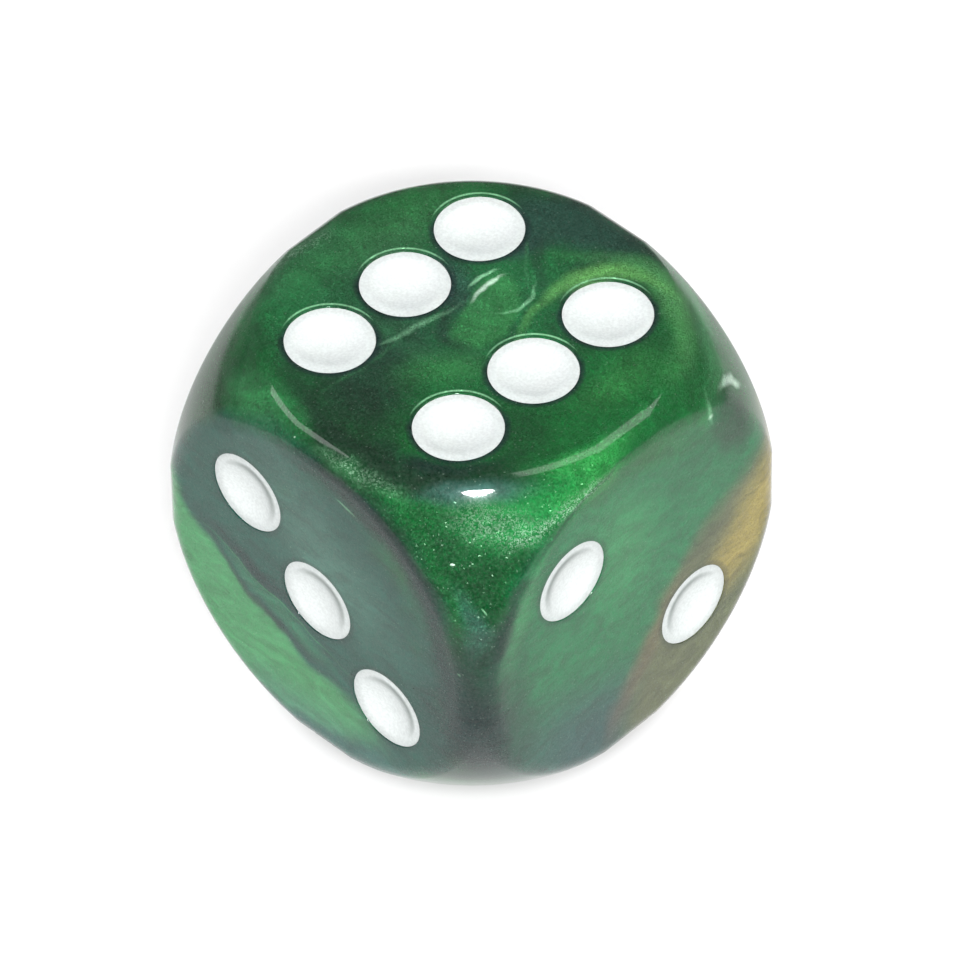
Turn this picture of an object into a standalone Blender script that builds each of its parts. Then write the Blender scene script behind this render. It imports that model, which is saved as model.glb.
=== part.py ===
"""Round-cornered gaming die: a moulded resin body with 21 dished pockets, each holding its own enamel pip.

Model frame: metres, +Z up, origin at the centre of the die. Six pips face +Z, two face +X and three face -Y,
and opposite faces add up to seven.
"""

import math

import bmesh
import bpy
from mathutils import Matrix, Vector

MM = 0.001

# Body: a cube whose corners are tumbled down to a sphere, with every edge rounded by one rolling ball.
DIE_SIZE = 16.0 * MM  # across two opposite flat faces
CORNER_CUT = 2.96 * MM  # taken off each sharp corner of the cube, along its diagonal
EDGE_RADIUS = 1.2 * MM

# Pips: a skin of enamel lying in a dished pocket, its rim just under the face.
PIP_DIAMETER = 2.92 * MM
DISH_DEPTH = 0.5 * MM  # from the rim of the enamel down to the middle of its dish
ENAMEL_THICKNESS = 0.25 * MM
RIM_RECESS = 0.05 * MM  # the enamel's rim lies this far under the face
POCKET_GAP = 0.3 * MM  # between the enamel and its pocket, at the side and underneath
DISH_POWER = 3.0  # 2 is a bowl; more gives a flatter floor and a steeper wall

# Layout of the pips, from the middle of a face to the middle of a pip, to the right and up.
TWO_RIGHT = 3.15 * MM
TWO_UP = 3.03 * MM
THREE_RIGHT = 3.37 * MM
THREE_UP = 3.16 * MM
SQUARE_OFFSET = 3.2 * MM  # the corners of the four and of the five, both ways
SIX_RIGHT = 3.16 * MM  # to each row of three
SIX_PITCH = 3.845 * MM  # from pip to pip along a row

# Facets.
FACE_SPOKES = 48  # around each flat face, a multiple of 8 so that neighbouring faces share corners
EDGE_RINGS = 5  # from each flat face down to the line where two faces meet
PIP_SPOKES = 20
DISH_RINGS = 3

# Each face: its outward normal, and which way is right when it is seen from outside.
FACES = {
    "one": (Vector((0, 0, -1)), Vector((1, 0, 0))),
    "two": (Vector((1, 0, 0)), Vector((0, 1, 0))),
    "three": (Vector((0, -1, 0)), Vector((1, 0, 0))),
    "four": (Vector((0, 1, 0)), Vector((-1, 0, 0))),
    "five": (Vector((-1, 0, 0)), Vector((0, -1, 0))),
    "six": (Vector((0, 0, 1)), Vector((1, 0, 0))),
}


def clear_scene():
    for old in list(bpy.data.objects):
        bpy.data.objects.remove(old)


def plastic(name, colour, roughness):
    """A non-metallic Principled BSDF material."""
    material = bpy.data.materials.new(name)
    material.use_nodes = True
    shader = material.node_tree.nodes["Principled BSDF"]
    shader.inputs["Base Color"].default_value = (*colour, 1.0)
    shader.inputs["Roughness"].default_value = roughness
    shader.inputs["Metallic"].default_value = 0.0
    return material


def face_matrix(normal, right):
    """Turns X to the right, Y to the top and Z to the outward normal of a face, seen from outside."""
    return Matrix((right, normal.cross(right), normal)).transposed()


def mesh_from(bm, name):
    mesh = bpy.data.meshes.new(name)
    bm.to_mesh(mesh)
    bm.free()
    mesh.shade_smooth()
    mesh.set_sharp_from_angle(angle=math.radians(30))
    return mesh


def add_object(name, mesh, parent=None):
    made = bpy.data.objects.new(name, mesh)
    bpy.context.scene.collection.objects.link(made)
    made.parent = parent
    return made


def pip_layout():
    """The middle of each pip on its face, as (right, up) seen from outside."""
    middle = [(0.0, 0.0)]
    both_ways = (-SQUARE_OFFSET, SQUARE_OFFSET)
    square = [(right, up) for up in both_ways for right in both_ways]
    return {
        "one": middle,
        "two": [(-TWO_RIGHT, TWO_UP), (TWO_RIGHT, -TWO_UP)],
        "three": [(-THREE_RIGHT, THREE_UP), (0.0, 0.0), (THREE_RIGHT, -THREE_UP)],
        "four": square,
        "five": square + middle,
        "six": [(right, row * SIX_PITCH) for right in (-SIX_RIGHT, SIX_RIGHT) for row in (1, 0, -1)],
    }


def core_rim(direction, half, radius):
    """The point of the core's flat face that lies furthest towards direction.

    The flat face is a disc, trimmed to a square of side twice half where the disc is wider than that.
    """
    disc = math.sqrt(max(radius**2 - half**2, 0.0))
    rim = disc * direction
    longer, shorter = (0, 1) if abs(rim.x) > abs(rim.y) else (1, 0)
    if abs(rim[longer]) > half:
        rim[longer] = math.copysign(half, rim[longer])
        if rim[shorter]:
            rim[shorter] = math.copysign(math.sqrt(max(disc**2 - half**2, 0.0)), rim[shorter])
    return rim


def rolled_point(direction, tilt):
    """The point where the body's outward normal leans by tilt from the face's own normal, towards direction.

    A ball of EDGE_RADIUS rolls round a core, which is the cube cut by the sphere with both drawn in by that
    radius. The point lies on the ball as it rests on the part of the core that is furthest along the normal.
    """
    half = DIE_SIZE / 2 - EDGE_RADIUS
    radius = math.sqrt(3) * DIE_SIZE / 2 - CORNER_CUT - EDGE_RADIUS
    normal = Vector((*(math.sin(tilt) * direction), math.cos(tilt)))
    if radius * normal.z <= half:
        touch = radius * normal
    else:
        touch = Vector((*core_rim(direction, half, radius), half))
    return touch + EDGE_RADIUS * normal


def face_patch(bm, turn):
    """One flat face with the rounding round it, down to the lines where it meets its four neighbours."""
    rings = [[] for _ in range(EDGE_RINGS + 1)]
    for spoke in range(FACE_SPOKES):
        angle = 2 * math.pi * spoke / FACE_SPOKES
        direction = Vector([round(x, 12) for x in (math.cos(angle), math.sin(angle))])
        seam = math.atan(1 / max(abs(direction.x), abs(direction.y)))
        for step, ring in enumerate(rings):
            ring.append(bm.verts.new(turn @ rolled_point(direction, seam * step / EDGE_RINGS)))
    bm.faces.new(rings[0])
    for inner, outer in zip(rings, rings[1:]):
        for i in range(FACE_SPOKES):
            j = (i + 1) % FACE_SPOKES
            bm.faces.new((inner[i], outer[i], outer[j], inner[j]))


def body_mesh():
    bm = bmesh.new()
    for normal, right in FACES.values():
        face_patch(bm, face_matrix(normal, right))
    bmesh.ops.remove_doubles(bm, verts=bm.verts, dist=1e-7)
    return mesh_from(bm, "die_body")


def dish(drop):
    """Half outline of the dish from its middle to its rim, as (radius, height), lowered by drop."""
    radius = PIP_DIAMETER / 2
    shares = [math.sin(math.pi / 2 * ring / DISH_RINGS) for ring in range(DISH_RINGS + 1)]
    return [(radius * s, DISH_DEPTH * (s**DISH_POWER - 1) - drop) for s in shares]


def turned(bm, outline, turn):
    """Turns an outline of (radius, height) points round Z into a closed solid.

    The outline runs from the axis round to the axis again, upper end first, going outwards and then back in.
    """
    (_, first), *around, (_, last) = outline
    upper = bm.verts.new(turn @ Vector((0, 0, first)))
    lower = bm.verts.new(turn @ Vector((0, 0, last)))
    angles = [2 * math.pi * spoke / PIP_SPOKES for spoke in range(PIP_SPOKES)]
    rings = []
    for radius, height in around:
        points = [Vector((radius * math.cos(a), radius * math.sin(a), height)) for a in angles]
        rings.append([bm.verts.new(turn @ point) for point in points])
    for i in range(PIP_SPOKES):
        j = (i + 1) % PIP_SPOKES
        bm.faces.new((upper, rings[0][i], rings[0][j]))
        bm.faces.new((lower, rings[-1][j], rings[-1][i]))
        for inner, outer in zip(rings, rings[1:]):
            bm.faces.new((inner[i], outer[i], outer[j], inner[j]))


def pip_mesh():
    """The enamel skin: its dished top, and the same dish lower down as its underside."""
    bm = bmesh.new()
    top = dish(RIM_RECESS)
    underside = dish(RIM_RECESS + ENAMEL_THICKNESS)
    turned(bm, top + underside[::-1], Matrix.Identity(4))
    return mesh_from(bm, "enamel_pip")


def pocket_mesh(places):
    """All the pockets as one cutter, each standing proud of its face."""
    bm = bmesh.new()
    floor = dish(RIM_RECESS + ENAMEL_THICKNESS + POCKET_GAP)
    wall = PIP_DIAMETER / 2 + POCKET_GAP
    outline = [(0.0, EDGE_RADIUS), (wall, EDGE_RADIUS), (wall, floor[-1][1])] + floor[::-1]
    for place in places.values():
        turned(bm, outline, place)
    return mesh_from(bm, "pip_pockets")


def pip_places():
    """Where each pip sits, by name: its axis out of the face, and its height zero on the face."""
    places = {}
    for face, spots in pip_layout().items():
        turn = face_matrix(*FACES[face])
        for number, (right, up) in enumerate(spots, 1):
            middle = turn @ Vector((right, up, DIE_SIZE / 2))
            places[f"pip_{face}_{number}"] = Matrix.Translation(middle) @ turn.to_4x4()
    return places


def build():
    clear_scene()
    centre = add_object("die_centre", None)
    places = pip_places()

    body = add_object("die_body", body_mesh(), centre)
    body.data.materials.append(plastic("pearl_resin", (0.02, 0.16, 0.05), 0.12))
    pockets = add_object("pip_pockets", pocket_mesh(places), centre)
    pockets.hide_render = True
    pockets.display_type = "WIRE"
    cut = body.modifiers.new("Pockets", "BOOLEAN")
    cut.operation = "DIFFERENCE"
    cut.solver = "EXACT"
    cut.use_self = True  # wide pockets that run into each other still cut cleanly
    cut.object = pockets

    skin = pip_mesh()
    skin.materials.append(plastic("white_enamel", (0.86, 0.88, 0.87), 0.35))
    for name, place in places.items():
        pip = add_object(name, skin, centre)
        pip.location = place.to_translation()
        pip.rotation_euler = place.to_euler()


build()
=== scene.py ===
"""Looks of a round-cornered gaming die in green pearl resin: a Blender add-on that also runs as a script.

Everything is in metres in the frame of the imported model: +Z up, the origin at the centre of the die, six
pips towards +Z, two towards +X and three towards -Y.
"""

import math

import bpy
import numpy as np
from mathutils import Matrix, Vector
from mathutils.geometry import delaunay_2d_cdt


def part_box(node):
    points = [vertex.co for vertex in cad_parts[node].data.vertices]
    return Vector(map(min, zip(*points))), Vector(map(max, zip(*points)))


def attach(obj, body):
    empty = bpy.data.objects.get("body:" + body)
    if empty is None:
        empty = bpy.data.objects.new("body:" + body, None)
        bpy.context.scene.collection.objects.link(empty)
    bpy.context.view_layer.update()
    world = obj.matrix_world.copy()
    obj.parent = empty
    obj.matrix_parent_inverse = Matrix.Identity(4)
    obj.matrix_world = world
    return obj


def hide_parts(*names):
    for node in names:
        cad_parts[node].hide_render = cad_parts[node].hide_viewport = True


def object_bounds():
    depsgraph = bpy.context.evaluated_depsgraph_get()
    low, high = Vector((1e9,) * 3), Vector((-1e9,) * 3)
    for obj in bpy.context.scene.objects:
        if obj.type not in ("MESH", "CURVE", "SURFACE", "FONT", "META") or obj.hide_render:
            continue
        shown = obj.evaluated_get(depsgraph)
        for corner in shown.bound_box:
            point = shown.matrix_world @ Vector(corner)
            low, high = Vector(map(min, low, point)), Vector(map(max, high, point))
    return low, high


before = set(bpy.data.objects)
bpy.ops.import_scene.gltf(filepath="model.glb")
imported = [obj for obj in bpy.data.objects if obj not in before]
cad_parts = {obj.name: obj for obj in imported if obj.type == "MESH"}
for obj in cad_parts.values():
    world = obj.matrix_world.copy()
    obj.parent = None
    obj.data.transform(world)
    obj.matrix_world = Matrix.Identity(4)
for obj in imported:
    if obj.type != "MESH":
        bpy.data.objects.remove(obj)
CAD_LOW, CAD_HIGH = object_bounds()

bl_info = {
    "name": "Pearl resin gaming die",
    "version": (1, 0, 0),
    "blender": (4, 5, 0),
    "location": "3D View > Sidebar > Gaming die",
    "description": "Makes the body, the pips and the stage of a round-cornered gaming die",
    "category": "Object",
}

MM = 0.001

# Facets, fine enough that no outline shows a corner.
FACE_SPOKES = 192  # around a flat face, a multiple of 8 so that neighbouring faces share their corners
EDGE_RINGS = 28  # from a flat face down to the line where two faces meet
PIP_SPOKES = 96
LIP_RINGS = 6
DISH_RINGS = 12
RING_ROWS = 7

RING_WIDTH = 0.21 * MM  # of the face round a pip, with painted shade and a painted highlight for its pocket
RING_SHADE = 0.4  # how dark the painted shade is beside the pip
LEVEL_SHADE = 0.55  # and how much darker on a level face
RING_FADE = 0.6
LIT_WAY = 140.0  # degrees round a level face, to the middle of the painted highlight round each of its pips
LIT_END = 0.1  # the cosine of the angle from there to the line's ends
LIT_FADE = 0.7  # and how much more it takes for the line to be full
LIT_CLEARS = 0.9  # part of the painted shade that the painted highlight takes away
LIT_ROW = 0.55  # the line's middle and half width, in parts of the ring's width
LIT_ROW_REACH = 0.3
BRIM = 0.78  # part of a pip's radius where the dish meets its flat brim
ENAMEL_FIT = 0.004 * MM  # keeps the enamel's surface clear of the resin's
ENAMEL_CREASE = 40.0  # degrees, beyond which an edge of the enamel is sharp
SAME_POINT = 1e-5 * MM  # points nearer than this are one

# The stage. Azimuth 0 is -Y and 90 is +X; angles are in degrees.
CAMERA_AZIMUTH = 44.46
CAMERA_ELEVATION = 46.05
CAMERA_DISTANCE = 400 * MM
CAMERA_ROLL = -1.0
CAMERA_LENS = 416.4  # millimetres, behind a frame 36 mm wide
CAMERA_SHIFT = (0.0086, 0.0032)
BOARD_REACH = 1500 * MM
GLOW = 0.72  # the board's own brightness, where white is 1
FOOT_REACH = (6.4 * MM, 8.3 * MM)  # no glow under the die, as painted contact shadow, and all beyond its foot
GLOW_REACH = (50 * MM, 75 * MM)  # fades between these distances from the die
FLASH_WAY = (CAMERA_AZIMUTH + 3.0, CAMERA_ELEVATION - 2.6)
FLASH_DISTANCE = 1000 * MM
FLASH_SIZE = (192 * MM, 52 * MM)
FLASH_SPREAD = 24.0
FLASH_WATTS = 0.31
STRIP_DISTANCE = 600 * MM
RIGHT_STRIP_WAY = (141.0, 58.0)  # azimuth and elevation of its middle
RIGHT_STRIP_TURN = 15.0
RIGHT_STRIP_SIZE = (220 * MM, 520 * MM)
RIGHT_STRIP_WATTS = 1.2
LEFT_STRIP_WAY = (299.5, 40.5)
LEFT_STRIP_TURN = 32.0
LEFT_STRIP_SIZE = (300 * MM, 150 * MM)
LEFT_STRIP_WATTS = 0.55
ROOM_LIGHT = 0.25

# The enamel's painted shade, in parts of a pip's radius: a crescent where the wall of its dish would be
# in shade, and a little along its outline.
CRESCENT_SHIFT = (-0.3, 0.3, -0.44)  # shift of the unshaded middle, away from the painted crescent
SHADE_FROM = 0.9  # from that middle, where the painted shade begins
SHADE_TO = 1.3
SHADE_END = BRIM + 0.06  # from the middle of the pip, where the painted crescent ends
SHADE_END_FADE = 0.08
OUTLINE_SHADE = 0.2  # how dark the painted shade is along the outline

# Each face: its outward normal, and which way is right when it is seen from outside.
FACES = {
    "one": ((0, 0, -1), (1, 0, 0)),
    "two": ((1, 0, 0), (0, 1, 0)),
    "three": ((0, -1, 0), (1, 0, 0)),
    "four": ((0, 1, 0), (-1, 0, 0)),
    "five": ((-1, 0, 0), (0, -1, 0)),
    "six": ((0, 0, 1), (1, 0, 0)),
}


# ---------------------------------------------------------------------------------------------- settings


def linear(code):
    """The linear colour of an sRGB code such as 1f6a35, with full alpha."""
    parts = np.array([int(code[i : i + 2], 16) for i in (0, 2, 4)]) / 255
    bright = np.where(parts <= 0.04045, parts / 12.92, ((parts + 0.055) / 1.055) ** 2.4)
    return (*bright.tolist(), 1.0)


def length(name, description, millimetres):
    return bpy.props.FloatProperty(
        name=name, description=description, default=millimetres * MM, unit="LENGTH"
    )


def colour(name, description, code):
    return bpy.props.FloatVectorProperty(
        name=name, description=description, default=linear(code), size=4, subtype="COLOR", min=0, max=1
    )


class DieSizes(bpy.types.PropertyGroup):
    """Sizes of the visible surfaces, in metres."""

    edge_radius: length("Edge radius", "Radius of the rounding along every edge", 1.2)
    corner_cut: length("Corner cut", "Length off each sharp corner of the cube, along its diagonal", 2.96)
    pip_diameter: length("Pip diameter", "Width of the white of a pip", 3.28)
    lip_radius: length("Lip radius", "Rounding of the resin round a pip", 0.04)
    dish_depth: length("Dish depth", "Depth of the enamel's dish below its rim", 0.24)
    dish_power: bpy.props.FloatProperty(
        name="Dish power",
        description="2 is a bowl; more gives a flatter floor and a steeper wall",
        default=2.0,
    )
    enamel_thickness: length("Enamel thickness", "Thickness of the enamel in its pocket", 0.2)


class DieColours(bpy.types.PropertyGroup):
    """Colours of the resin's streams and their painted light and shade, the enamel and the board."""

    deep: colour("Deep green", "Most of the resin", "0d5c28")
    shade: colour("Shade", "Dark green between the streams", "0d2c1a")
    teal: colour("Teal", "Dark blue-green near the edges", "193d2f")
    # Also the painted shade round the pips.
    night: colour("Night", "Darkest blue-green, where two faces meet", "0d2424")
    pool: colour("Pool", "Lighter green in the middle of the six", "2d7a3b")
    fresh: colour("Fresh green", "Light green streams", "2f6c40")
    # Painted glow: it stands for the pearl's shine under the rim's highlight and beside the flash's
    # highlight.
    glow: colour("Glow", "Pearl that shines under the rim of the six", "34a04a")
    # Used for a streak beside the smoke, and as painted light where the flash lights the corner.
    bright: colour("Bright green", "Corner between the six, the two and the three", "1a7639")
    # Painted reflection and light: a pale veil low on a side, over the six, on the tip and round the
    # flash's highlight.
    painted_veil: colour("Mist", "Pale grey-green low on the sides", "446c66")
    yellow: colour("Yellow-green", "Thin light arcs", "4d9353")
    milky: colour("Milky green", "Most of the face with two pips", "0f6b3e")
    meadow: colour("Meadow green", "Crescent on the face with three pips", "408e57")
    moss: colour("Moss green", "Over that crescent", "388d5e")
    haze: colour("Haze", "Lighter middle of the face with two pips", "348b53")
    ash: colour("Ash", "Foot of the face with two pips", "2c424a")
    cloud: colour("Cloud", "Paler middle of the face with three pips", "406a5c")
    grey: colour("Grey-green", "Most of the face with three pips", "0d4a3d")
    gold: colour("Gold", "Tan stream with gold pigment", "998b48")
    brown: colour("Brown-grey", "Where the tan stream thins out", "5c6144")
    rust: colour("Rust", "Thin reddish edge of the tan stream", "715141")
    straw: colour("Straw", "Brightest thin arc", "69ae5a")
    smoke: colour("Smoke", "Brownish dark cloud", "0d3e23")
    pearl: colour("Pearl white", "Folds full of pigment", "d8f5e0")
    # Painted sparkle: pale flakes that stand for glints of the pigment near the highlights.
    painted_sparkle: colour("Dust", "Single flakes of pigment near the surface", "d8f5e0")
    # Painted highlight round the pips; also the colour of narrow folds, a scratch and sparks in the
    # streams.
    line: colour("Light line", "Where the wall of a pocket shines", "8fd0a0")
    enamel: colour("Enamel", "The pips", "c9cecd")
    # Painted shade: the crescent in the pips' dishes, where their walls would be in shade.
    thin_enamel: colour("Thin enamel", "Where the resin shows through the pips", "66736e")
    board: colour("Board", "The floor", "818181")


# ---------------------------------------------------------------------------------------------- geometry


def face_matrix(face):
    """Columns that turn X to a face's right, seen from outside, Y to its top and Z to its normal."""
    normal, right = (np.array(axis, float) for axis in FACES[face])
    return np.column_stack((right, np.cross(normal, right), normal))


def edge_surface(half, radius, sphere):
    """Points and normals of the rounding round one flat face, which looks along +Z, as two grids.

    Rows run from the flat face to the line where it meets its neighbours, and columns go round the face.
    Each row leans the normal n further from +Z, by equal shares of the angle atan(1 / max(|cos|, |sin|))
    that reaches that line. The point is q + radius * n, where q is the furthest point along n of a core:
    the cube of half side half - radius, cut by the ball of radius sphere - radius. Where the ball's own
    furthest point lies inside the cube, q is that point. Otherwise q lies on the rim of the core's flat
    face, which is a circle trimmed by the square.
    """
    core, ball = half - radius, sphere - radius
    angle = np.arange(FACE_SPOKES) * (2 * np.pi / FACE_SPOKES)
    across = np.round(np.stack((np.cos(angle), np.sin(angle))), 12)
    seam = np.arctan(1 / np.abs(across).max(axis=0))
    lean = np.linspace(0, 1, EDGE_RINGS + 1)[:, None] * seam
    normal = np.stack((np.sin(lean) * across[0], np.sin(lean) * across[1], np.cos(lean)), axis=-1)

    disc = math.sqrt(ball**2 - core**2)
    trimmed = math.sqrt(max(disc**2 - core**2, 0))
    rim = disc * across
    beyond = np.abs(rim) > core
    rim = np.where(beyond[::-1], np.sign(rim) * trimmed, rim)
    rim = np.where(beyond, np.sign(rim) * core, rim)
    on_rim = np.stack((rim[0], rim[1], np.full(FACE_SPOKES, core)), axis=-1)
    furthest = np.where((ball * normal[..., 2:] > core), on_rim, ball * normal)
    return furthest + radius * normal, normal


def turned_surface(profile):
    """Points and normals of a profile turned about Z, as two grids.

    Row i is the circle of radius profile[i, 0] at height profile[i, 1]. Its normals stand square to the
    profile, on the left of its way along: the change of height, taken negative, and the change of radius.
    """
    way = np.gradient(profile, axis=0)
    square = np.column_stack((-way[:, 1], way[:, 0])) / np.linalg.norm(way, axis=1)[:, None]
    angle = np.arange(PIP_SPOKES) * (2 * np.pi / PIP_SPOKES)
    around = np.stack((np.cos(angle), np.sin(angle)), axis=-1)
    grids = []
    for radial, upward in (profile.T, square.T):
        level = np.broadcast_to(upward[:, None, None], (len(profile), PIP_SPOKES, 1))
        grids.append(np.concatenate((radial[:, None, None] * around, level), axis=-1))
    return grids


def flat_triangles(outline, holes):
    """Triangles that fill an outline round its round holes, as numbers of its points and then theirs."""
    rings = [outline, *holes]
    starts = np.cumsum([0] + [len(ring) for ring in rings])
    edges = []
    for ring, start in zip(rings, starts):
        here = np.arange(len(ring))
        edges += np.column_stack((start + here, start + np.roll(here, -1))).tolist()
    flat = np.concatenate(rings) / MM
    found = delaunay_2d_cdt([Vector(point) for point in flat], edges, [], 1, SAME_POINT / MM)
    corners = np.array([[found[3][corner][0] for corner in face] for face in found[2]])
    middles = flat[corners].mean(axis=1)
    kept = np.full(len(corners), True)
    for hole in holes:
        centre = hole.mean(axis=0) / MM
        kept &= np.linalg.norm(middles - centre, axis=1) > np.linalg.norm(hole[0] / MM - centre)
    corners = corners[kept]
    a, b, c = flat[corners].transpose(1, 0, 2)
    inside_out = np.cross(b - a, c - a) < 0
    corners[inside_out] = corners[inside_out][:, ::-1]
    return corners


def without_repeats(faces):
    """The faces less repeated corners: a quad with one becomes a triangle, and the rest are dropped."""
    repeated = faces == np.roll(faces, -1, axis=1)
    uses = repeated.sum(axis=1)
    blocks = [faces[uses == 0]]
    if faces.shape[1] == 4:
        blocks.append(faces[uses == 1][~repeated[uses == 1]].reshape(-1, 3))
    return blocks


class Shell:
    """Rings of points with their normals, and the faces between them, gathered into one closed mesh."""

    def __init__(self):
        self.tags = []
        self.points = []
        self.normals = []
        self.faces = []
        self.count = 0

    def add_points(self, points, normals, turn, shift, tags=0.0):
        """Adds points, shifted and then turned, and returns the number of the first."""
        first = self.count
        self.tags.append(np.broadcast_to(tags, points.shape[:-1]).reshape(-1))
        self.points.append((points.reshape(-1, 3) + shift) @ turn.T)
        self.normals.append(normals.reshape(-1, 3) @ turn.T)
        self.count += len(self.points[-1])
        return first

    def add_cap(self, ring, first, turn, shift, flipped, tags):
        """Closes a small ring, whose first point has that number, with a fan round its middle."""
        way = np.array([[0.0, 0.0, -1.0 if flipped else 1.0]])
        middle_tag = np.mean(tags[0]) if np.ndim(tags) else tags
        pole = self.add_points(ring.mean(axis=0, keepdims=True), way, turn, shift, middle_tag)
        here = first + np.arange(len(ring))
        pair = (np.roll(here, -1), here) if flipped else (here, np.roll(here, -1))
        self.faces.append(np.stack((np.full(len(ring), pole), *pair), axis=-1))

    def add_rings(self, points, normals, turn, shift=(0, 0, 0), first_cap=False, last_cap=False, tags=0.0):
        """Adds a grid whose columns close into rings, with quads from each row to the next."""
        rows, columns = points.shape[:2]
        first = self.add_points(points, normals, turn, shift, tags)
        here = np.arange(columns)
        beside = np.roll(here, -1)
        quad = np.stack((here, here + columns, beside + columns, beside), axis=-1)
        steps = columns * np.arange(rows - 1)[:, None, None]
        self.faces.append((first + quad + steps).reshape(-1, 4))
        if first_cap:
            self.add_cap(points[0], first, turn, shift, False, tags)
        if last_cap:
            self.add_cap(points[-1], first + columns * (rows - 1), turn, shift, True, tags)

    def add_flat(self, outline, holes, height, turn):
        """Adds the flat at this height that fills an outline round its holes."""
        outline = outline[np.ptp((outline, np.roll(outline, -1, axis=0)), axis=0).any(axis=1)]
        flat = np.concatenate((outline, *holes))
        points = np.column_stack((flat, np.full(len(flat), height)))
        normals = np.broadcast_to((0.0, 0.0, 1.0), points.shape)
        first = self.add_points(points, normals, turn, (0, 0, 0))
        self.faces.append(first + flat_triangles(outline, holes))

    def mesh(self, name, own_normals=True):
        """The mesh, its coinciding points made one. Every edge has to lie in two faces."""
        points = np.concatenate(self.points)
        rounded = np.round(points / SAME_POINT).astype(np.int64)
        _, kept, number = np.unique(rounded, axis=0, return_index=True, return_inverse=True)
        faces = [part for block in self.faces for part in without_repeats(number.reshape(-1)[block])]
        ends = [np.stack((block, np.roll(block, -1, axis=1)), axis=-1).reshape(-1, 2) for block in faces]
        _, uses = np.unique(np.sort(np.concatenate(ends), axis=1), axis=0, return_counts=True)
        if (uses != 2).any():
            raise RuntimeError(f"{name} isn't closed")
        made = bpy.data.meshes.new(name)
        made.from_pydata(points[kept], (), [face for block in faces for face in block.tolist()])
        made.shade_smooth()
        if own_normals:
            made.normals_split_custom_set_from_vertices(np.concatenate(self.normals)[kept])
        # The attribute carries the painted light and shade that the materials mix in.
        layer = made.attributes.new("tag", "FLOAT", "POINT")
        layer.data.foreach_set("value", np.concatenate(self.tags)[kept].astype(np.float32))
        return made


def dish_profile(sizes, width, drop):
    """Radius and height of a dish from near its middle out to its rim, which lies that drop under the face.

    The height is depth * (rise - 1) - drop, where rise is the part of the dish's radius to that power, and
    1 on the flat brim.
    """
    share = np.sin(np.linspace(0, np.pi / 2, DISH_RINGS + 1))[1:]
    rise = np.minimum(share / BRIM, 1) ** sizes.dish_power
    return np.column_stack((share * width / 2, sizes.dish_depth * (rise - 1) - drop))


def pocket_profile(sizes):
    """The dish under the enamel, the wall over it, the quarter circle of the lip and rings of the face."""
    floor = dish_profile(sizes, sizes.pip_diameter, sizes.lip_radius + sizes.enamel_thickness)
    angle = np.linspace(np.pi, np.pi / 2, LIP_RINGS + 1)
    around = np.column_stack((1 + np.cos(angle), np.sin(angle) - 1))
    lip = sizes.lip_radius * around + (sizes.pip_diameter / 2, 0)
    ring = lip[-1] + np.linspace((0, 0), (RING_WIDTH, 0), RING_ROWS + 1)[1:]
    return np.concatenate((floor, lip, ring))


def enamel_profile(sizes):
    """The top of the enamel from its middle to its rim, and back to the middle along its underside."""
    width = sizes.pip_diameter - 2 * ENAMEL_FIT
    top = dish_profile(sizes, width, sizes.lip_radius)
    under = dish_profile(sizes, width, sizes.lip_radius + sizes.enamel_thickness - ENAMEL_FIT)
    return np.concatenate((top, under[::-1]))


def painted_crescent_shade(places, turn):
    """How much painted shade darkens the enamel at places given in parts of the dish's radius.

    The shade is a crescent where a place lies far from a middle, up to the brim, and stands for the wall of
    the dish in shade. On upright faces that middle is shifted by the given side, as far as it lies along
    the face, and level faces get none. It also darkens a little towards the outline.
    """
    shift = (np.array(CRESCENT_SHIFT) @ turn)[:2] * (1 - abs(turn[2, 2]))
    out = np.linalg.norm(places, axis=-1)
    away = np.linalg.norm(places - shift, axis=-1)
    crescent_shade = np.clip((away - SHADE_FROM) / (SHADE_TO - SHADE_FROM), 0, 1)
    return crescent_shade * np.clip((SHADE_END - out) / SHADE_END_FADE, 0, 1) + OUTLINE_SHADE * out**4


def painted_halo(rows, turn):
    """Painted shade and a painted highlight round a pip, on the rings of the ring's profile.

    They stand for the pocket seen through the resin. Above 0 is painted shade, which fades over the width
    of the ring. Below 0 is a painted highlight, a narrow line where the pocket's far wall would shine,
    which level faces show on the side of LIT_WAY.
    """
    out = np.clip((rows[:, :1] - rows[-1, 0]) / RING_WIDTH + 1, 0, 1)
    angle = np.arange(PIP_SPOKES) * (2 * np.pi / PIP_SPOKES)
    level = abs(turn[2, 2])
    lit = level * np.clip((np.cos(angle - math.radians(LIT_WAY)) - LIT_END) / LIT_FADE, 0, 1)
    shade = (RING_SHADE + LEVEL_SHADE * level) * (1 - out) ** RING_FADE * (1 - LIT_CLEARS * lit)
    return shade - lit * np.clip(1 - abs(out - LIT_ROW) / LIT_ROW_REACH, 0, 1)


def pip_centre(node, turn):
    """Where a pip's node lies in its face: how far to the right and how far up from the middle."""
    low, high = (np.array(corner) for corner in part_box(node))
    return ((low + high) / 2 @ turn)[:2]


def pips_of(face):
    return sorted(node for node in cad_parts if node.startswith(f"pip_{face}_"))


# ---------------------------------------------------------------------------------------------- materials


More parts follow.
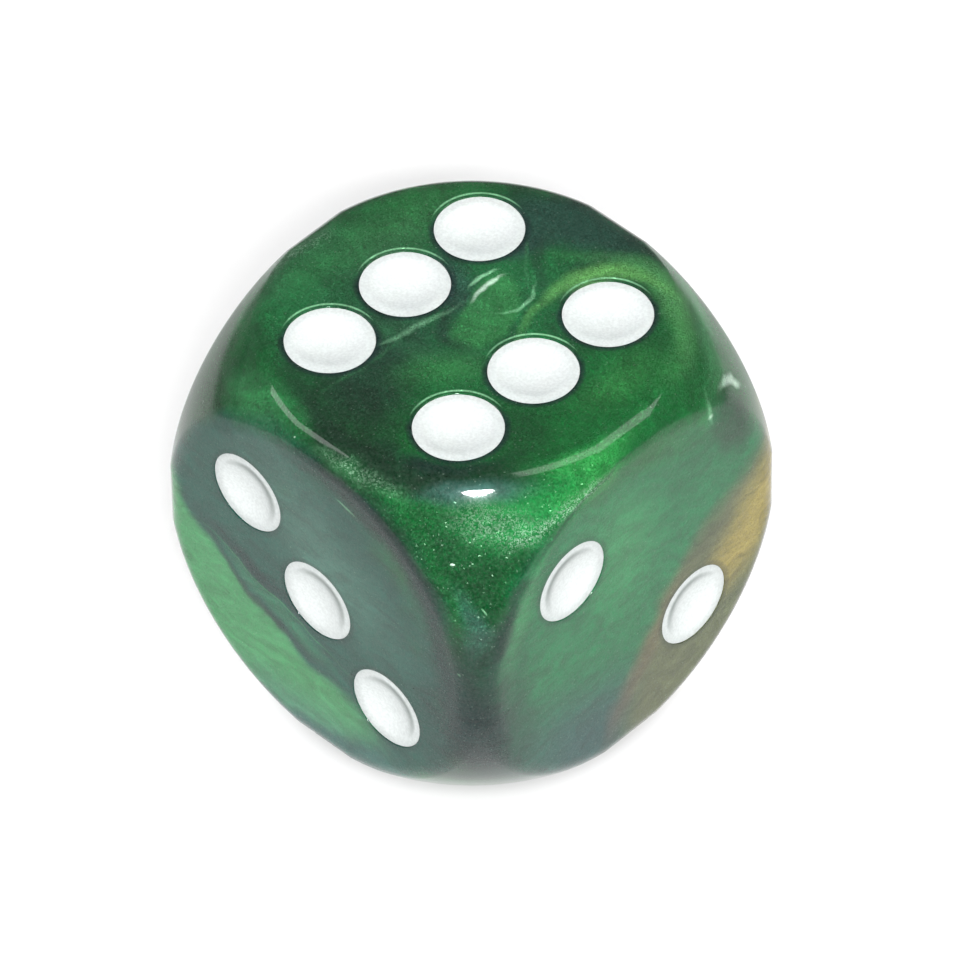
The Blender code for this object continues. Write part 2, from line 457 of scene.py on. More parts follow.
# The resin's pattern. Every noise's scale is per millimetre.
BENDS = ((0.4, 2.0, 1.3), (2.2, 2.0, 0.16))  # noises that bend the streams: scale, detail, mm moved
NOISE_SPAN = {"From Min": 0.3, "From Max": 0.7}  # nearly all of a noise lies in here
CLOUDS = {"Scale": 0.22, "Detail": 4.0, "Distortion": 0.6}  # patches of the two darkest greens
CLOUD_SPAN = {"From Min": 0.42, "From Max": 0.62, "To Max": 0.6}
SILK_DRAWN = {"Scale": (0.35, 0.5, 1.1), "Rotation": (0.3, 0.5, 0.6)}  # draws out the drifts of silk
SILK = {"Scale": 1.3, "Detail": 6.0, "Roughness": 0.6, "Distortion": 1.4}
SILK_SHADES = {"To Min": 0.72, "To Max": 1.3}  # what the silk multiplies the colour by
SPECKS = {"Scale": 9.0, "Detail": 1.0}  # specks a tenth of a millimetre wide
SPECK_SHADES = {"To Min": -0.002, "To Max": 0.014}  # what the specks add to the colour
FLAKES = 20.0  # flakes of pigment per millimetre, each with its own random numbers from 0 to 1
FLAKE_LEAN = 0.8
SPARKLE_SPAN = {"From Min": 0.4, "From Max": 1.0}  # the share of painted sparkle that a flake shows
GLINT_SPAN = {"From Min": 0.985, "From Max": 0.995}  # only the few flakes from here on glint
GLINT_METAL = {"To Min": 0.5, "To Max": 1.0}
GLINT_ROUGH = {"To Min": 0.6, "To Max": 0.45}
GLINT_WHITE = 0.1
PAINT_GRAIN = {"Scale": 10.0, "Detail": 1.0}
PAINT_SHADES = {"To Min": 0.88, "To Max": 1.04}

# The resin's streams, laid down one over the other; those marked as painted stand for light, glints,
# reflection and shade, not the resin's own colour. Each is a name, a colour, its half width and its half
# depth in millimetres, how softly it ends and how strongly it covers what lies under it. Its second line
# holds the points where it starts, what it passes and where it ends, in millimetres from the die's middle.
STREAMS = (
    # the face with three pips
    ("face of the three", "grey", 9.6, 1.0, 0.2, 1.0,
     (-13, -8.3, -1.5), (-2.5, -8.3, -1.5), (8, -8.3, -1.5)),
    ("cloud on the three", "cloud", 1.7, 1.0, 0.9, 0.9,
     (-2.4, -8, 5.2), (-0.2, -8, 3), (2.9, -8, 0.4)),
    ("shade along the three", "night", 0.65, 1.0, 0.8, 0.95,
     (-1.2, -8, 7.0), (3.5, -7.9, 6.2), (6.5, -8, 0.5)),
    ("crescent", "meadow", 2.2, 2.2, 0.12, 0.95,
     (-9.4, -8, 2.0), (-4.6, -8, -3.9), (2.2, -8, -5.7)),
    ("end of the crescent", "meadow", 0.6, 0.8, 0.9, 0.8,
     (-0.9, -8, -5.0), (0.9, -8, -4.6), (2.6, -8, -5.0)),
    ("moss over the crescent", "moss", 0.4, 0.8, 0.6, 0.35,
     (-4.3, -8, -0.75), (-2.4, -8, -1.75), (0.2, -8, -2.95)),
    ("crease of the crescent", "night", 0.16, 0.8, 0.8, 0.6,
     (-5.0, -8, -0.65), (-3.2, -8, -2.15), (-0.2, -8, -3.15)),
    ("shade over the moss", "night", 0.35, 0.8, 0.8, 0.7,
     (-5.3, -8, 0.4), (-3.0, -8, -0.6), (-0.5, -8, -1.6)),
    ("edge of the moss", "meadow", 0.045, 0.8, 0.7, 0.45,
     (-5.2, -8, -0.15), (-2.8, -8, -1.15), (1.2, -8, -2.6)),
    ("scratch on the three", "line", 0.04, 0.3, 0.7, 0.4,
     (1.4, -8, 6.0), (1.75, -8, 5.9), (2.1, -8, 5.85)),
    ("spark over the three", "pearl", 0.045, 0.3, 0.5, 0.7,
     (-1.24, -7.8, 7.6), (-1.2, -7.8, 7.6), (-1.16, -7.8, 7.6)),
    ("spark by the seam", "line", 0.05, 0.3, 0.5, 0.7,
     (7.1, -8, 1.17), (7.15, -8, 1.17), (7.2, -8, 1.17)),
    # Painted reflection: the floor's grey veil low on the face.
    ("mist under the three", "painted_veil", 1.6, 1.3, 0.8, 0.6,
     (-5.5, -7.8, -7.3), (0.5, -7.8, -7.3), (6.5, -7.8, -7.3)),
    # the face with two pips
    ("face of the two", "milky", 8.6, 1.0, 0.2, 1.0,
     (8.3, -8.4, -0.8), (8.3, 0.6, -0.8), (8.3, 9.6, -0.8)),
    ("light between the two", "haze", 1.5, 1.0, 0.9, 0.65,
     (8, -1.4, 5.2), (8, -0.7, 2.7), (8, -0.2, 0.2)),
    ("light low on the two", "haze", 0.42, 1.0, 0.9, 0.7,
     (7.9, -4.5, 5.3), (8, -6.0, 2.9), (8, -6.5, -1.0)),
    ("foot of the two", "ash", 2.7, 1.2, 0.8, 0.8,
     (8, -6.5, -4.2), (8, -2.7, -6.1), (8, 2.5, -7.6)),
    ("tan stream", "brown", 3.4, 4.0, 0.2, 0.95,
     (8, 9.2, 2.2), (8, 4.9, -3.25), (8, 0.4, -8.6)),
    ("rust along the tan stream", "rust", 0.5, 2.0, 0.9, 0.55,
     (8, 2.8, -0.4), (8, 0.85, -2.9), (8, -0.9, -6.1)),
    ("gold in the tan stream", "gold", 1.25, 3.0, 0.7, 0.95,
     (8, 8.3, 2.0), (8, 6.2, -1.0), (8, 3.8, -3.2)),
    ("smoke", "smoke", 1.1, 1.4, 0.5, 0.85,
     (8, 5.6, 3.4), (7.95, 5.3, 4.8), (7.7, 4.9, 6.1)),
    ("curl over the smoke", "pearl", 0.12, 0.5, 0.8, 0.75,
     (7.3, 5.3, 6.1), (7.0, 5.9, 5.9), (7.0, 6.5, 5.4)),
    ("light beside the smoke", "bright", 0.3, 0.6, 0.9, 0.7,
     (7.2, 4.0, 7.0), (7.65, 3.8, 6.3), (7.95, 3.7, 5.5)),
    ("fold beside the smoke", "line", 0.13, 0.5, 0.8, 0.7,
     (7.4, 4.4, 6.7), (7.7, 4.1, 6.3), (7.95, 4.05, 5.7)),
    ("spark beside the smoke", "pearl", 0.14, 0.2, 0.5, 1.0,
     (7.9, 3.85, 5.95), (7.9, 4.05, 5.9), (7.9, 4.25, 5.85)),
    # the face with six pips
    ("shade between the rows", "shade", 1.7, 1.2, 0.6, 0.85,
     (-1.9, -1.5, 8.2), (-0.9, -4, 8.2), (0.9, -6.6, 8.2)),
    ("shade under the six", "shade", 0.65, 1.0, 0.5, 0.95,
     (-3.2, -6.0, 7.9), (2.0, -7.0, 7.9), (6.3, -4.0, 7.9)),
    ("shade behind the six", "teal", 1.35, 1.6, 0.5, 1.0,
     (-3.8, 4.8, 7.8), (-0.9, 6.5, 7.7), (2.8, 7.1, 7.4)),
    ("shade beside the last pip", "teal", 0.85, 0.9, 0.6, 1.0,
     (-2.5, 2.8, 8), (-1.6, 4.2, 8), (-1.6, 5.8, 8)),
    ("shade beside the far row", "teal", 0.8, 0.9, 0.5, 0.85,
     (-3.4, 1.6, 8.2), (-1.9, 1.1, 8.2), (-0.4, 0.5, 8.2)),
    ("light behind the near row", "yellow", 1.4, 1.0, 0.8, 0.2,
     (-6.2, -2.2, 8.3), (-5.4, 1.4, 8.3), (-4.8, 5, 8.3)),
    ("light over the five", "fresh", 0.8, 1.0, 0.8, 0.5,
     (-7.0, -5.4, 7.4), (-7.0, -3.0, 7.4), (-7.0, -0.6, 7.4)),
    ("pool in the six", "pool", 0.95, 1.0, 0.15, 0.8,
     (0.7, -0.85, 8), (0.1, 0.9, 8), (-0.7, 2.65, 8)),
    ("light beside the pool", "fresh", 0.45, 1.0, 0.9, 0.35,
     (-1.0, -2.3, 8), (0.3, -1.75, 8), (1.7, -1.3, 8)),
    ("shade round the pool", "shade", 0.28, 0.4, 0.8, 0.7,
     (0.9, -0.9, 8), (-0.55, -0.5, 8), (-1.35, 1.2, 8)),
    ("fold over the pool", "line", 0.09, 0.3, 0.6, 0.9,
     (-1.3, 1.5, 7.9), (-1.27, 2.05, 8), (-1.1, 2.5, 8.1)),
    ("fold beside the pool", "pearl", 0.09, 0.3, 0.6, 0.75,
     (-0.87, 1.2, 7.9), (-0.84, 1.9, 8), (-0.7, 2.45, 8.1)),
    ("hook of the pool", "line", 0.08, 0.3, 0.7, 0.5,
     (0.45, 1.5, 8), (0.68, 2.2, 7.9), (0.4, 2.85, 7.9)),
    ("fold of the shade", "fresh", 0.08, 0.4, 0.6, 0.5,
     (-1.7, 4.6, 8), (-0.6, 3.5, 8), (0.35, 2.6, 8)),
    ("shade of that fold", "shade", 0.22, 0.4, 0.8, 0.5,
     (-1.4, 5.4, 8), (-0.2, 3.8, 8), (1.1, 2.6, 8)),
    ("flow between the rows", "line", 0.09, 0.3, 0.9, 0.4,
     (-1.9, -3.0, 7.9), (-1.4, -1.5, 7.9), (-1.1, 0.1, 7.9)),
    ("crease between the rows", "fresh", 0.1, 0.3, 0.8, 0.5,
     (-1.6, -5.5, 7.9), (-1.4, -4.0, 7.9), (-1.4, -2.5, 7.9)),
    ("light under the far row", "fresh", 0.3, 0.3, 0.8, 0.4,
     (-3.0, -2.5, 8), (-2.1, -2.2, 8), (-1.6, -1.1, 8)),
    ("light over the far pip", "yellow", 0.6, 0.7, 0.9, 0.8,
     (1.5, 5.9, 8), (4.3, 6.2, 7.9), (6.3, 4.3, 7.9)),
    ("arc round the far pip", "straw", 0.33, 0.4, 0.95, 0.75,
     (1.1, 2.5, 8), (1.3, 4.75, 8), (3.6, 6.1, 8)),
    ("shade under the near row", "shade", 1.0, 0.8, 0.8, 0.5,
     (4.1, -1.8, 8), (5.0, -2.8, 8), (5.8, -3.8, 8)),
    ("ring under the near row", "night", 0.36, 0.6, 0.8, 0.8,
     (2.4, -6.2, 8), (4.35, -5.5, 8), (5.5, -4.0, 8)),
    ("light before the pool", "pool", 0.75, 0.8, 0.8, 0.6,
     (0.0, -3.4, 8), (0.9, -2.1, 8), (1.9, -1.0, 8)),
    ("light beside the near row", "pool", 0.8, 0.8, 0.8, 0.6,
     (5.6, 0.2, 8), (5.8, 1.6, 8), (5.7, 3.4, 8)),
    # Painted reflection: a faint grey veil over the face.
    ("veil over the six", "painted_veil", 4.2, 1.2, 0.9, 0.14,
     (-7.5, -4.0, 8), (-3.2, -1.0, 8), (1.5, 5.0, 8)),
    # the rounded corner and the edges
    ("shade of the right slope", "deep", 1.2, 0.8, 0.5, 0.8,
     (7.6, -3.0, 7.2), (7.6, 1.6, 7.2), (7.6, 6.2, 7.2)),
    ("light of the right slope", "meadow", 0.6, 0.7, 0.9, 0.75,
     (1.5, 7.6, 7.3), (5.0, 6.9, 6.9), (7.3, 5.2, 6.6)),
    ("light of the left slope", "meadow", 0.9, 0.9, 0.7, 0.45,
     (-6.4, -7.2, 7.4), (-4.0, -7.5, 7.4), (-1.4, -7.5, 7.4)),
    # Painted sheen at the end of the left rim's highlight.
    ("pale_sheen on the left slope", "fresh", 0.28, 0.6, 0.9, 0.75,
     (0.2, -7.8, 7.5), (1.7, -7.6, 7.5), (3.4, -7.1, 7.4)),
    ("shade of the near rim", "shade", 0.6, 0.55, 0.6, 0.85,
     (2.6, -7.1, 7.7), (5.0, -5.5, 7.7), (6.6, -3.5, 7.8)),
    # Painted glow under the rim's highlight.
    ("light under the rim", "glow", 0.3, 0.5, 0.9, 0.6,
     (6.9, -2.9, 7.65), (7.5, -1.3, 7.6), (7.5, 0.3, 7.65)),
    ("shade over the two", "deep", 0.6, 0.8, 0.9, 0.55,
     (7.8, -0.2, 7.4), (8, 1.7, 6.0), (8, 3.5, 5.2)),
    # Painted light where the flash lights the corner.
    ("light of the corner", "bright", 0.75, 1.0, 0.9, 0.9,
     (6.2, -6.0, 6.5), (7.4, -4.6, 6.6), (7.9, -1.9, 6.9)),
    # Painted light round the flash's highlight.
    ("halo of the corner", "painted_veil", 0.32, 0.4, 0.9, 0.65,
     (4.4, -6.5, 7.5), (5.5, -5.45, 7.6), (6.5, -4.3, 7.55)),
    # Painted glow beside the flash's highlight.
    ("glow of the corner", "glow", 0.42, 0.7, 0.9, 0.55,
     (7.75, -3.1, 6.9), (7.85, -1.9, 7.0), (7.8, -0.5, 7.3)),
    ("edge of the two", "night", 0.09, 0.5, 0.8, 0.55,
     (7.95, -0.2, 7.25), (7.95, -2.75, 6.55), (7.98, -4.7, 5.1)),
    # Painted sparkle: glints of single flakes round the flash's highlight and along the rims.
    ("pale_sheen of the corner", "painted_sparkle", 0.22, 0.7, 0.95, 0.5,
     (7.8, -1.8, 7.0), (7.65, -3.5, 6.6), (7.5, -4.9, 6.1)),
    ("dust of the corner", "painted_sparkle", 0.6, 0.7, 0.95, 0.22,
     (5.6, -6.1, 6.9), (6.8, -5.3, 6.6), (7.5, -4.5, 6.2)),
    ("dust on the left slope", "painted_sparkle", 0.2, 0.5, 0.9, 0.12,
     (0.4, -7.75, 7.55), (1.7, -7.6, 7.55), (2.9, -7.3, 7.5)),
    ("dust on the left rim", "painted_sparkle", 0.3, 0.5, 0.9, 0.18,
     (-7.4, -3.0, 7.6), (-7.3, -1.6, 7.7), (-7.2, -0.2, 7.7)),
    ("left border of the corner", "fresh", 0.14, 0.6, 0.9, 0.3,
     (0.9, -7.8, 7.5), (4.6, -7.75, 6.0), (7.0, -7.6, 3.4)),
    ("shade of the corner", "shade", 1.2, 1.2, 0.8, 0.35,
     (3.4, -7.4, 6.8), (4.8, -7.0, 6.8), (6.2, -6.6, 6.8)),
    ("spark of the corner", "pearl", 0.045, 0.3, 0.5, 0.9,
     (6.16, -7.25, 5.68), (6.2, -7.25, 5.7), (6.24, -7.25, 5.72)),
    ("spark of the tip", "line", 0.04, 0.3, 0.5, 0.7,
     (7.3, -6.96, 4.08), (7.33, -6.96, 4.1), (7.36, -6.96, 4.12)),
    ("shade of the tip", "shade", 0.9, 1.0, 0.8, 0.3,
     (5.2, -7.7, 5.7), (6.7, -7.3, 4.6), (7.4, -7.3, 2.8)),
    # Painted reflection: a paler veil on the tip.
    ("light of the tip", "painted_veil", 0.28, 0.6, 0.9, 0.4,
     (6.6, -7.45, 4.5), (7.2, -7.4, 3.4), (7.5, -7.5, 2.2)),
    ("shade beside the tip", "night", 0.28, 0.7, 0.8, 0.7,
     (7.9, -5.0, 5.2), (7.87, -6.3, 3.6), (7.9, -7.2, 1.0)),
    ("seam", "night", 2.0, 2.0, 0.7, 0.95,
     (7.7, -7.7, 2.4), (7.7, -7.7, -2.4), (7.7, -7.7, -7.2)),
    # the face with four pips
    ("tan stream over the four", "brown", 1.5, 1.5, 0.3, 0.8,
     (6.6, 8, 3.0), (2.0, 8, -1.8), (-3.5, 8, -4.8)),
    ("gold on the four", "gold", 0.6, 1.2, 0.8, 0.7,
     (6.4, 8, 2.6), (2.4, 8, -0.8), (-1.4, 8, -3.2)),
    ("light over the four", "fresh", 1.1, 1.0, 0.7, 0.7,
     (4.5, 8, 5.4), (-0.5, 8, 3.8), (-5.5, 8, 0.4)),
    ("fold on the four", "pearl", 0.08, 0.3, 0.6, 0.7,
     (0.7, 8, 2.7), (-1.3, 8, 1.7), (-2.3, 8, -0.3)),
    ("shade under the four", "night", 1.2, 1.2, 0.7, 0.8,
     (-6.5, 8, -2.0), (-2.0, 8, -6.0), (4.5, 8, -6.6)),
    # the face with five pips
    ("crescent on the five", "meadow", 1.8, 2.0, 0.15, 0.9,
     (-8, -8.6, 1.8), (-8, -5.2, -3.0), (-8, 1.5, -5.4)),
    ("moss on the five", "moss", 0.6, 0.9, 0.5, 0.6,
     (-8, -3.5, 1.4), (-8, 0.5, -0.8), (-8, 3.5, -3.6)),
    ("crease on the five", "night", 0.2, 0.8, 0.8, 0.7,
     (-8, -5.6, 1.6), (-8, -2.6, -1.2), (-8, 1.6, -3.4)),
    ("smoke on the five", "smoke", 1.1, 1.2, 0.5, 0.8,
     (-8, 1.5, 5.5), (-8, 4.0, 2.5), (-8, 5.5, -1.5)),
    ("light on the five", "fresh", 0.7, 0.9, 0.8, 0.7,
     (-8, -4.8, 5.5), (-8, -1.0, 4.2), (-8, 1.5, 1.5)),
    # the face with one pip
    ("pool in the one", "pool", 1.4, 1.0, 0.3, 0.8,
     (3.5, -1.5, -8), (1.5, 3.0, -8), (-3.0, 4.0, -8)),
    ("shade round the one", "teal", 1.5, 1.0, 0.6, 0.9,
     (-5, -4, -8), (0, -5, -8), (5, -3.5, -8)),
    ("fold beside the one", "pearl", 0.1, 0.3, 0.5, 0.8,
     (3.2, 3.4, -8), (2.4, 4.3, -8), (0.8, 4.6, -8)),
)


# The sockets of a Mix node that mixes colours go by number: those that mix numbers have the same names.
SHARE, UNDER, OVER, MIXED = 0, 6, 7, 2


def add(tree, kind, inputs=(), gives=0, **settings):
    """Adds one node and returns one of its outputs, which goes by its name or number.

    The settings go by name. The inputs are values, or the outputs that feed them, by socket name or number.
    """
    made = tree.nodes.new("ShaderNode" + kind)
    for name, value in settings.items():
        setattr(made, name, value)
    for name, value in dict(inputs).items():
        if isinstance(value, bpy.types.NodeSocket):
            tree.links.new(value, made.inputs[name])
        else:
            made.inputs[name].default_value = value
    return made.outputs[gives]


def new_material(name):
    material = bpy.data.materials.new(name)
    material.use_nodes = True
    return material, material.node_tree, material.node_tree.nodes["Principled BSDF"]


def in_millimetres(tree):
    """Places on the piece in its own frame, in millimetres."""
    place = add(tree, "TexCoord", gives="Object")
    return add(tree, "VectorMath", {0: place, "Scale": 1 / MM}, operation="SCALE")


def stream_share(tree, place, points, size, soft, strength):
    """How far a stream covers a place: its strength inside a bent ellipsoid, fading over its soft edge.

    The points are its start, its middle and its end, and size is its half width and its half depth. Its
    length runs from start to end, and its depth along the axis that its middle is furthest out on. It is
    bent into a parabola through the three points: each place moves aside by the bow times the square of its
    share of the half length. Nodes hand vectors on to vectors and numbers to numbers only: otherwise the
    renderer holds the shares of all the streams at once, and has no room for so many.
    """
    start, middle, end = (Vector(point) for point in points)
    width, depth = size
    along = (end - start).normalized()
    outward = Vector([float(abs(part) == max(map(abs, middle))) for part in middle])
    aside = outward.cross(along).normalized()
    axes = Matrix((along, aside, along.cross(aside))).transposed()
    reach = Vector(((end - start).length / 2, width, depth))
    bow = axes.transposed() @ (middle - (start + end) / 2)
    at = middle - axes @ Vector((bow.x, 0, 0))

    round_it = {"Vector": place, "Center": at, "Rotation": axes.to_euler()}
    turned = add(tree, "VectorRotate", round_it, rotation_type="EULER_XYZ", invert=True)
    parts = {0: turned, 1: [1 / part for part in reach], 2: [-far / part for far, part in zip(at, reach)]}
    seen = add(tree, "VectorMath", parts, operation="MULTIPLY_ADD")
    squares = add(tree, "VectorMath", {0: seen, 1: seen}, operation="MULTIPLY")
    square = add(tree, "VectorMath", {0: squares, 1: (1, 0, 0)}, "Value", operation="DOT_PRODUCT")
    back = {0: (0, bow.y / width, bow.z / depth), "Scale": square}
    bend = add(tree, "VectorMath", back, operation="SCALE")
    straight = add(tree, "VectorMath", {0: seen, 1: bend}, operation="ADD")
    away = add(tree, "VectorMath", {0: straight}, "Value", operation="LENGTH")
    ramp = {"Value": away, "From Min": 1 + soft, "From Max": 1 - soft, "To Max": strength}
    return add(tree, "MapRange", ramp, interpolation_type="SMOOTHSTEP")


def streams_tint(tree, place, flakes, colours):
    """The colour of the streams: patches of two dark greens, with every stream laid over them in turn.

    A stream of painted sparkle covers each flake by that flake's own share, so it shows as single pale
    flakes that stand for glints.
    """
    bent = place
    for scale, detail, amount in BENDS:
        swirl = add(tree, "TexNoise", {"Vector": place, "Scale": scale, "Detail": detail}, "Color")
        offset = add(tree, "VectorMath", {0: swirl, 1: (0.5, 0.5, 0.5)}, operation="SUBTRACT")
        bent = add(tree, "VectorMath", {0: offset, 1: (amount,) * 3, 2: bent}, operation="MULTIPLY_ADD")

    cloud = add(tree, "TexNoise", {"Vector": bent, **CLOUDS})
    shaded = add(tree, "MapRange", {"Value": cloud, **CLOUD_SPAN}, interpolation_type="SMOOTHSTEP")
    greens = {SHARE: shaded, UNDER: tuple(colours.deep), OVER: tuple(colours.shade)}
    tint = add(tree, "Mix", greens, MIXED, data_type="RGBA")
    by_flake = add(tree, "SeparateColor", {"Color": flakes}, "Red")
    sparkle_share = add(tree, "MapRange", {"Value": by_flake, **SPARKLE_SPAN})
    for _, name, width, depth, soft, strength, *points in STREAMS:
        share = stream_share(tree, bent, points, (width, depth), soft, strength)
        if name == "painted_sparkle":
            share = add(tree, "Math", {0: share, 1: sparkle_share}, operation="MULTIPLY")
        layers = {SHARE: share, UNDER: tint, OVER: tuple(getattr(colours, name))}
        tint = add(tree, "Mix", layers, MIXED, data_type="RGBA")
    return tint, bent


def pearl_resin(colours):
    """Cast polyester resin with mica pearl pigment stirred in, tumbled to a high gloss.

    The pigment lies in streams of several greens, some of them painted light and shade, and the rings round
    the pips are painted shade and highlight. Its flakes, a twentieth of a millimetre wide, lean a little
    each its own way. So the colour is grainy and flares where a flake faces the light, under a clear glossy
    skin.
    """
    material, tree, shader = new_material("cast_pearl_resin")
    place = in_millimetres(tree)
    flakes = add(tree, "TexVoronoi", {"Vector": place, "Scale": FLAKES}, "Color")
    tint, bent = streams_tint(tree, place, flakes, colours)

    # Round the pips, the attribute holds painted shade of the pocket, and below 0 a painted highlight
    # along its wall.
    by_pip = add(tree, "Attribute", gives="Fac", attribute_name="tag")
    shining = add(tree, "Math", {0: by_pip, 1: -1.0}, operation="MULTIPLY", use_clamp=True)
    shaded = {SHARE: by_pip, UNDER: tint, OVER: tuple(colours.night)}
    tint = add(tree, "Mix", shaded, MIXED, data_type="RGBA")
    lit = {SHARE: shining, UNDER: tint, OVER: tuple(colours.line)}
    tint = add(tree, "Mix", lit, MIXED, data_type="RGBA")

    drawn = add(tree, "Mapping", {"Vector": bent, **SILK_DRAWN})
    silk = add(tree, "TexNoise", {"Vector": drawn, **SILK})
    sheen = add(tree, "MapRange", {"Value": silk, **NOISE_SPAN, **SILK_SHADES})
    sheened = {SHARE: 1.0, UNDER: tint, OVER: sheen}
    tint = add(tree, "Mix", sheened, MIXED, data_type="RGBA", blend_type="MULTIPLY")
    grain = add(tree, "TexNoise", {"Vector": place, **SPECKS})
    speckle = add(tree, "MapRange", {"Value": grain, **NOISE_SPAN, **SPECK_SHADES})
    tint = add(tree, "VectorMath", {0: tint, 1: speckle}, operation="ADD")

    tilt = add(tree, "VectorMath", {0: flakes, 1: (0.5, 0.5, 0.5)}, operation="SUBTRACT")
    upright = add(tree, "NewGeometry", gives="Normal")
    leaning = add(tree, "VectorMath", {0: tilt, 1: (FLAKE_LEAN,) * 3, 2: upright}, operation="MULTIPLY_ADD")
    facing = add(tree, "VectorMath", {0: leaning}, operation="NORMALIZE")
    tree.links.new(facing, shader.inputs["Normal"])

    by_flake = add(tree, "SeparateColor", {"Color": flakes}, "Blue")
    glint = add(tree, "MapRange", {"Value": by_flake, **GLINT_SPAN})
    metal = add(tree, "MapRange", {"Value": glint, **GLINT_METAL})
    rough = add(tree, "MapRange", {"Value": glint, **GLINT_ROUGH})
    whiter = add(tree, "Math", {0: glint, 1: GLINT_WHITE}, operation="MULTIPLY")
    glinting = {SHARE: whiter, UNDER: tint, OVER: tuple(colours.pearl)}
    tint = add(tree, "Mix", glinting, MIXED, data_type="RGBA")
    tree.links.new(tint, shader.inputs["Base Color"])
    tree.links.new(metal, shader.inputs["Metallic"])
    tree.links.new(rough, shader.inputs["Roughness"])
    shader.inputs["Specular IOR Level"].default_value = 0.0
    shader.inputs["Coat Weight"].default_value = 1.0
    shader.inputs["Coat Roughness"].default_value = 0.06
    shader.inputs["Coat IOR"].default_value = 1.42
    return material


def white_enamel(colours):
    """White enamel paint, run thick into its dish, where it dries to a soft gloss.

    A crescent of painted shade darkens the upper side of the dish on the upright faces, where its wall
    would be in shade, and a little painted shade runs along the outline.
    """
    material, tree, shader = new_material("white_enamel")
    # The attribute holds the painted shade of the crescent.
    crescent_shade = add(tree, "Attribute", gives="Fac", attribute_name="tag")
    paint = {SHARE: crescent_shade, UNDER: tuple(colours.enamel), OVER: tuple(colours.thin_enamel)}
    tint = add(tree, "Mix", paint, MIXED, data_type="RGBA")
    grain = add(tree, "TexNoise", {"Vector": in_millimetres(tree), **PAINT_GRAIN})
    mottle = add(tree, "MapRange", {"Value": grain, **NOISE_SPAN, **PAINT_SHADES})
    mottled = {SHARE: 1.0, UNDER: tint, OVER: mottle}
    tint = add(tree, "Mix", mottled, MIXED, data_type="RGBA", blend_type="MULTIPLY")
    tree.links.new(tint, shader.inputs["Base Color"])
    shader.inputs["Roughness"].default_value = 0.4
    return material


def pale_board(colours):
    """White acrylic board lit from below, as on a light table, so that it looks plain white.

    It glows from beyond the foot of the die, so the board under the die stays dark as a painted contact
    shadow, and the glow fades out again far away.
    """
    material, tree, shader = new_material("white_acrylic_board")
    shader.inputs["Base Color"].default_value = colours.board
    shader.inputs["Roughness"].default_value = 0.9
    shader.inputs["Specular IOR Level"].default_value = 0.1
    place = add(tree, "TexCoord", gives="Object")
    level = add(tree, "VectorMath", {0: place, 1: (1, 1, 0)}, operation="MULTIPLY")
    away = add(tree, "VectorMath", {0: level}, "Value", operation="LENGTH")
    near, far = GLOW_REACH
    fade = {"Value": away, "From Min": far, "From Max": near, "To Max": GLOW}
    outer = add(tree, "MapRange", fade, interpolation_type="SMOOTHSTEP")
    # No glow under the die: a painted contact shadow.
    rise = {"Value": away, "From Min": FOOT_REACH[0], "From Max": FOOT_REACH[1]}
    inner = add(tree, "MapRange", rise, interpolation_type="SMOOTHSTEP")
    glow = add(tree, "Math", {0: outer, 1: inner}, operation="MULTIPLY")
    shader.inputs["Emission Color"].default_value = (1, 1, 1, 1)
    tree.links.new(glow, shader.inputs["Emission Strength"])
    return material


# ---------------------------------------------------------------------------------------------- operators


def add_piece(name, mesh, material, slot, *nodes):
    """A piece of the die: it rides on the die's one body and stands for the named nodes."""
    made = bpy.data.objects.new(name, mesh)
    bpy.context.scene.collection.objects.link(made)
    mesh.materials.append(material)
    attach(made, "root")
    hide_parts(*nodes)
    return made


class DIE_OT_body(bpy.types.Operator):
    """Makes the resin body, with a pocket for every pip"""

    bl_idname = "die.body"
    bl_label = "Resin body"

    def execute(self, context):
        sizes = context.scene.die_sizes
        half = (CAD_HIGH.z - CAD_LOW.z) / 2
        sphere = math.sqrt(3) * half - sizes.corner_cut
        edge = edge_surface(half, sizes.edge_radius, sphere)
        profile = pocket_profile(sizes)
        pocket = turned_surface(profile)
        shell = Shell()
        for face in FACES:
            turn = face_matrix(face)
            shell.add_rings(*edge, turn)
            centres = [pip_centre(node, turn) for node in pips_of(face)]
            mouths = [pocket[0][-1, :, :2] + centre for centre in centres]
            shell.add_flat(edge[0][0, :, :2], mouths, half, turn)
            for centre in centres:
                # Painted shade and a painted highlight round each pip.
                shell.add_rings(*pocket, turn, (*centre, half), first_cap=True, tags=painted_halo(profile, turn))
        material = pearl_resin(context.scene.die_colours)
        add_piece("resin_body", shell.mesh("resin_body"), material, "pearl_resin", "die_body")
        return {"FINISHED"}


class DIE_OT_pips(bpy.types.Operator):
    """Fills every pocket with dished enamel"""

    bl_idname = "die.pips"
    bl_label = "Enamel pips"

    def execute(self, context):
        half = (CAD_HIGH.z - CAD_LOW.z) / 2
        sizes = context.scene.die_sizes
        points, normals = turned_surface(enamel_profile(sizes))
        enamel = white_enamel(context.scene.die_colours)
        for face in FACES:
            turn = face_matrix(face)
            for node in pips_of(face):
                shell = Shell()
                place = (*pip_centre(node, turn), half)
                # Painted shade: a crescent on the enamel of each pip.
                crescent_shade = painted_crescent_shade(points[..., :2] / (sizes.pip_diameter / 2), turn)
                shell.add_rings(points, normals, turn, place, first_cap=True, last_cap=True, tags=crescent_shade)
                name = node.replace("pip", "enamel")
                mesh = shell.mesh(name, own_normals=False)
                mesh.set_sharp_from_angle(angle=math.radians(ENAMEL_CREASE))
                add_piece(name, mesh, enamel, "pip_enamel", node)
        return {"FINISHED"}


def towards(azimuth, elevation):
    """The direction of a place seen from the die; azimuth 0 is -Y and 90 is +X."""
    around, up = math.radians(azimuth), math.radians(elevation)
    return Vector((math.sin(around) * math.cos(up), -math.cos(around) * math.cos(up), math.sin(up)))


